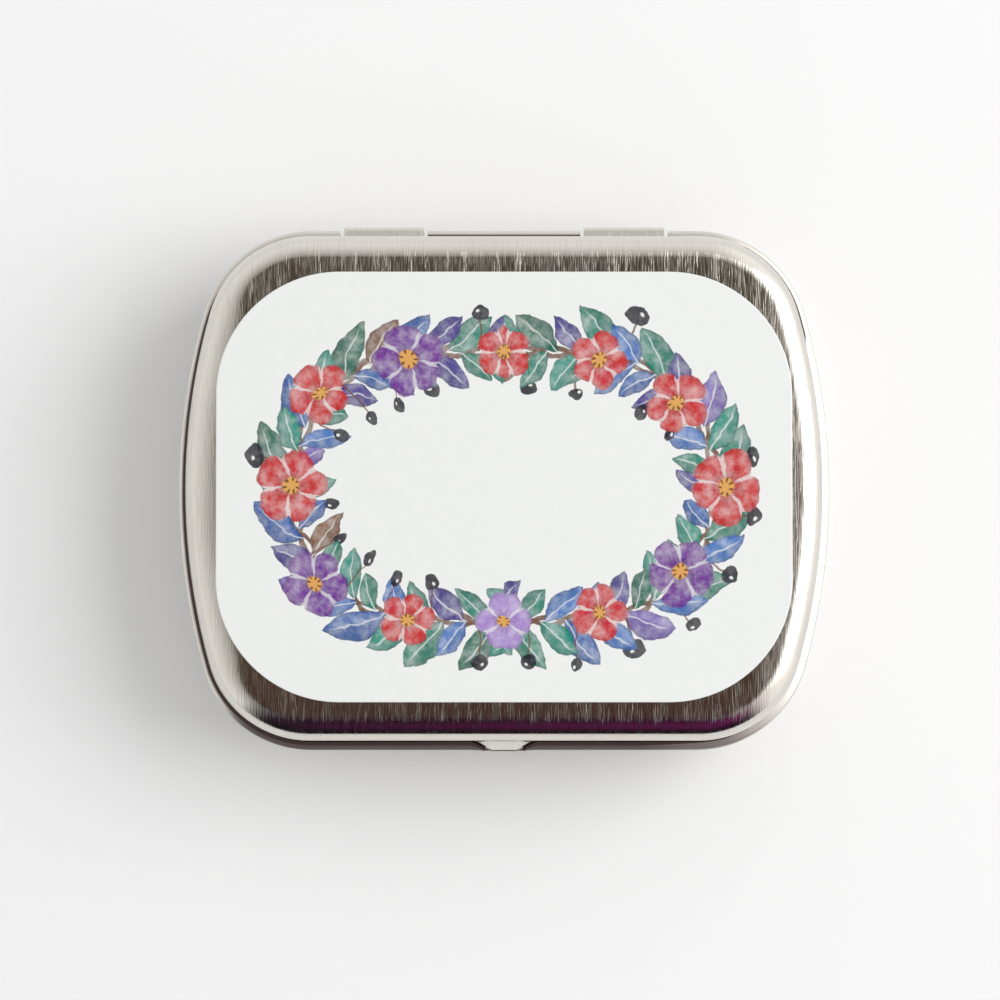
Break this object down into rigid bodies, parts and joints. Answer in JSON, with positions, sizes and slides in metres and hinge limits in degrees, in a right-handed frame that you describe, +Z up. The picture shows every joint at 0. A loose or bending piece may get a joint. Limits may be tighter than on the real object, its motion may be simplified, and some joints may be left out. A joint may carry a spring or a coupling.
{
  "type": "hinged tin",
  "caption": "Small hinged tin of brushed tinplate with rounded corners, bowed ends, a rolled hem, a thumb lip and a printed plate stuck on the lid.",
  "frame": {"origin": "under the middle of the tin, on the surface it stands on", "axes": "+Z up, +X along the hinge towards the right end, +Y towards the hinge, thumb lip at -Y"},
  "size_m": [0.06, 0.0484, 0.0156],
  "materials": {
    "tinplate": "brushed, warm silver",
    "wire": "drawn wire, bright",
    "adhesive": "double-sided sheet",
    "print": "white coat with a satin colour print"
  },
  "bodies": {
    "base": {"base_tray": "tinplate", "hinge_pin_left": "wire", "hinge_pin_right": "wire"},
    "lid": {"lid_shell": "tinplate", "hinge_lug_left": "tinplate", "hinge_lug_right": "tinplate", "adhesive_sheet": "adhesive", "print_plate": "print"}
  },
  "joints": [
    {"name": "lid_hinge", "type": "hinge", "parent": "base", "child": "lid", "pos_m": [0, 0.02315, 0.00765], "axis": [-1, 0, 0], "range_deg": [0, 115]}
  ]
}
